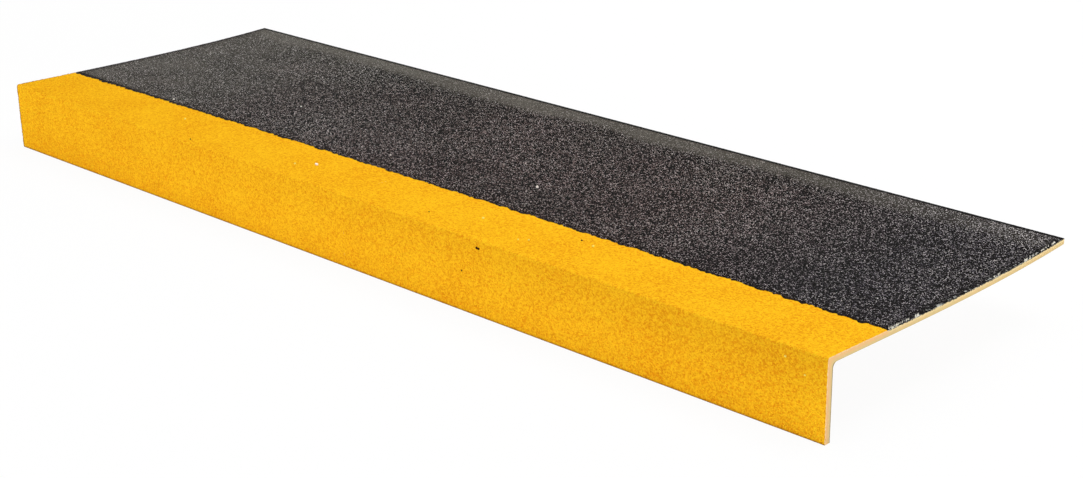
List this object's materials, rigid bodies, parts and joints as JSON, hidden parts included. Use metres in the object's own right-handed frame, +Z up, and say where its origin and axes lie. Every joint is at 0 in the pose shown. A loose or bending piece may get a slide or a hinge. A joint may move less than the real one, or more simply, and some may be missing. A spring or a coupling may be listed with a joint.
{
  "type": "stair tread",
  "caption": "Moulded glass-fibre stair tread with a gritted yellow nose over the step's edge and a gritted black walking surface.",
  "frame": {"origin": "middle of the flat underside, which beds on the step", "axes": "+X along the tread's length, -Y to the front, where the nose hangs down, +Z up"},
  "size_m": [0.762, 0.2451, 0.0508],
  "materials": {
    "black_grit": "black polyester coat full of bonded mineral grit, satin on each grain",
    "yellow_grit": "safety yellow polyester coat over bonded mineral grit",
    "laminate": "bare tan glass-fibre laminate, sawn at the ends and rolled smooth underneath"
  },
  "bodies": {
    "root": {"stair_tread": "black_grit"}
  },
  "joints": []
}
